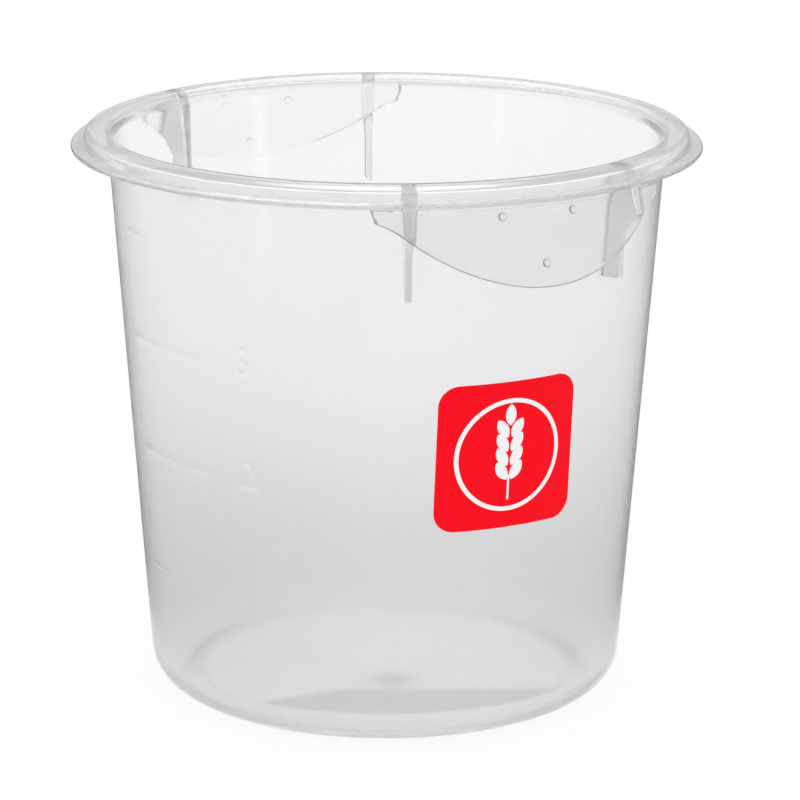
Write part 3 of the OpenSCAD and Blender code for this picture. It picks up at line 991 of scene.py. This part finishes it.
def shade_under(finish, across, away, far):
    """Shade of the container on the floor, as it shows through the base."""
    past = finish.node("ShaderNodeMath", {"operation": "MAXIMUM"}, {0: far - SHADE_FROM, 1: 0.0})
    aside = finish.node("ShaderNodeMath", {"operation": "ABSOLUTE"}, {0: across + SIDE_SHIFT})
    aside = finish.clamped(aside, SIDE_FROM, SIDE_FULL) * bell(finish, past, SIDE_LEN) * SIDE_DEEP
    soft = bell(finish, past, SHADE_LEN) * SHADE_DEEP + aside
    side = across * across * (1 / CONTACT_R ** 2)
    behind = finish.clamped(away, -CONTACT_FADE, CONTACT_FADE)
    ring = bell(finish, far - CONTACT_R, CONTACT_W) * behind
    ring = ring * (side * side * CONTACT_SIDE + CONTACT_REAR)
    gate = bell(finish, across - GATE_AT[0], GATE_SHADOW[0])
    gate = gate * bell(finish, away - GATE_AT[1], GATE_SHADOW[1])
    x, y = across - BENT_AT[0], away - BENT_AT[1]
    reach = finish.node("ShaderNodeMath", {"operation": "SQRT"}, {0: x * x + y * y})
    cut = (across - BENT_CUT[0]) * BENT_CUT_WAY[0] + (away - BENT_CUT[1]) * BENT_CUT_WAY[1]
    bent = finish.eased(reach, BENT_R, BENT_SOFT) * finish.eased(away, BENT_BACK, BENT_SOFT)
    bent = bent * finish.eased(cut * -1, 0.0, BENT_SOFT)
    return soft + ring + gate * GATE_DEEP + bent * BENT_DEEP


def floor_finish(finish):
    """White floor, shaded only where it is seen through the container."""
    lit = finish.node("ShaderNodeBsdfDiffuse", {}, {"Color": (FLOOR_WHITE, FLOOR_WHITE, FLOOR_WHITE, 1)})
    seen, through = ray(finish, "Camera"), ray(finish, "Transmission")
    mirrored = ray(finish, "Glossy") * (1 - through)
    place = finish.node("ShaderNodeTexCoord", output="Object")
    place = finish.node("ShaderNodeMapping", {}, {
        "Vector": place, "Rotation": (0, 0, -math.radians(SHADE_AZIMUTH))})
    across, away = [finish.node("ShaderNodeSeparateXYZ", {}, {0: place}, output=i) for i in range(2)]
    far = finish.node("ShaderNodeVectorMath", {"operation": "LENGTH"}, {0: place}, output=1)
    past = finish.node("ShaderNodeMath", {"operation": "MAXIMUM"}, {0: far - SHADE_FROM, 1: 0.0})
    mirror = MIRROR_FAR + bell(finish, past, MIRROR_LEN) * (MIRROR_NEAR - MIRROR_FAR)
    glow = seen + through * (1 - shade_under(finish, across, away, far)) + mirrored * mirror
    white = finish.node("ShaderNodeEmission", {}, {"Color": (1, 1, 1, 1), "Strength": glow})
    share = seen * FLOOR_WHITE + through + mirrored
    finish.done(finish.node("ShaderNodeMixShader", {}, {0: share, 1: lit, 2: white}))


floor = new_object("studio_floor", [
    (-FLOOR_HALF, -FLOOR_HALF, FLOOR_Z), (FLOOR_HALF, -FLOOR_HALF, FLOOR_Z),
    (FLOOR_HALF, FLOOR_HALF, FLOOR_Z), (-FLOOR_HALF, FLOOR_HALF, FLOOR_Z)], [(0, 1, 2, 3)])
floor.data.materials.append(material("studio_floor", floor_finish))

# %% World
WORLD_MIRROR = 0.15
world = bpy.data.worlds.new("studio")
bpy.context.scene.world = world
world.use_nodes = True
sky = Finish(world.node_tree)
mirrored = ray(sky, "Glossy") * (1 - ray(sky, "Transmission"))
glow = sky.node("ShaderNodeBackground", {}, {
    "Color": (1, 1, 1, 1), "Strength": 1 - mirrored * (1 - WORLD_MIRROR)})
sky.node("ShaderNodeOutputWorld", {}, {"Surface": glow})


# %% [markdown]
# One wide lamp overhead lights everything evenly. Two narrow upright lamps, one
# on either side, give the thin pale streaks on the left of the wall and inside
# the rear wall. Lamps this narrow could be tubes on stands; rectangles aimed at
# the middle of the container do the same.


# %% Lights
def softbox(name, place, aim, size, power):
    """Rectangular lamp that faces a point; places in metres, power in watts."""
    lamp = bpy.data.lights.new(name, "AREA")
    lamp.shape, lamp.size, lamp.size_y = "RECTANGLE", size[0], size[1]
    lamp.energy = power
    obj = bpy.data.objects.new(name, lamp)
    obj.location = place
    obj.rotation_euler = (Vector(aim) - Vector(place)).to_track_quat("-Z", "Y").to_euler()
    obj.visible_camera = False
    bpy.context.scene.collection.objects.link(obj)
    return obj


middle = (0, 0, HEIGHT / 2 * MM)


def around(azimuth, distance, height):
    """Place at an azimuth in degrees, distance and height in metres."""
    a = math.radians(azimuth)
    return (distance * math.sin(a), -distance * math.cos(a), height)


LEFT_AT, LEFT_SIZE, LEFT_POWER = around(-78, 2.2, 0.35), (0.12, 1.4), 1.0
RIGHT_AT, RIGHT_SIZE, RIGHT_POWER = around(33, 0.9, 0.12), (0.05, 0.18), 0.1
TOP_AT, TOP_SIZE, TOP_POWER = (0.0, 0.0, 2.2), (3.0, 3.0), 12
softbox("key_left", LEFT_AT, middle, LEFT_SIZE, LEFT_POWER)
softbox("key_right", RIGHT_AT, middle, RIGHT_SIZE, RIGHT_POWER)
softbox("overhead", TOP_AT, middle, TOP_SIZE, TOP_POWER)

# %% [markdown]
# The camera stands where the photograph was taken from: to the left of the
# label, looking down by about 15 degrees, with a long lens. Aim, roll and lens
# come from fitting the rim, wall and base to the picture. The shade on the floor
# lies along its line of sight, so the two have one azimuth.

# %% Camera
VIEW_AZIMUTH, VIEW_ROLL = SHADE_AZIMUTH, 0.26
VIEW_OUT, VIEW_HEIGHT = 1301.2, 450.3
AIM_RIGHT, AIM_HEIGHT = 4.9, 99.05
PIXELS, FOCAL_PIXELS = 800, 3863.35
SENSOR_W, FAR_CLIP = 36.0, 100

turn = math.radians(VIEW_AZIMUTH)
right = Vector((math.cos(turn), math.sin(turn), 0))
lens = bpy.data.cameras.new("camera")
lens.sensor_width = SENSOR_W
lens.lens = FOCAL_PIXELS / PIXELS * lens.sensor_width
lens.clip_end = FAR_CLIP
camera = bpy.data.objects.new("camera", lens)
camera.location = Vector((
    VIEW_OUT * math.sin(turn), -VIEW_OUT * math.cos(turn), VIEW_HEIGHT)) * MM
aim = (right * AIM_RIGHT + Vector((0, 0, AIM_HEIGHT))) * MM
look = (aim - camera.location).to_track_quat("-Z", "Y")
camera.rotation_mode = "QUATERNION"
camera.rotation_quaternion = look @ Quaternion((0, 0, 1), math.radians(VIEW_ROLL))
bpy.context.scene.collection.objects.link(camera)
bpy.context.scene.camera = camera
bpy.context.scene.view_settings.view_transform = "Standard"
print(f"lens {lens.lens:.1f} mm, camera at", [round(x, 3) for x in camera.location])
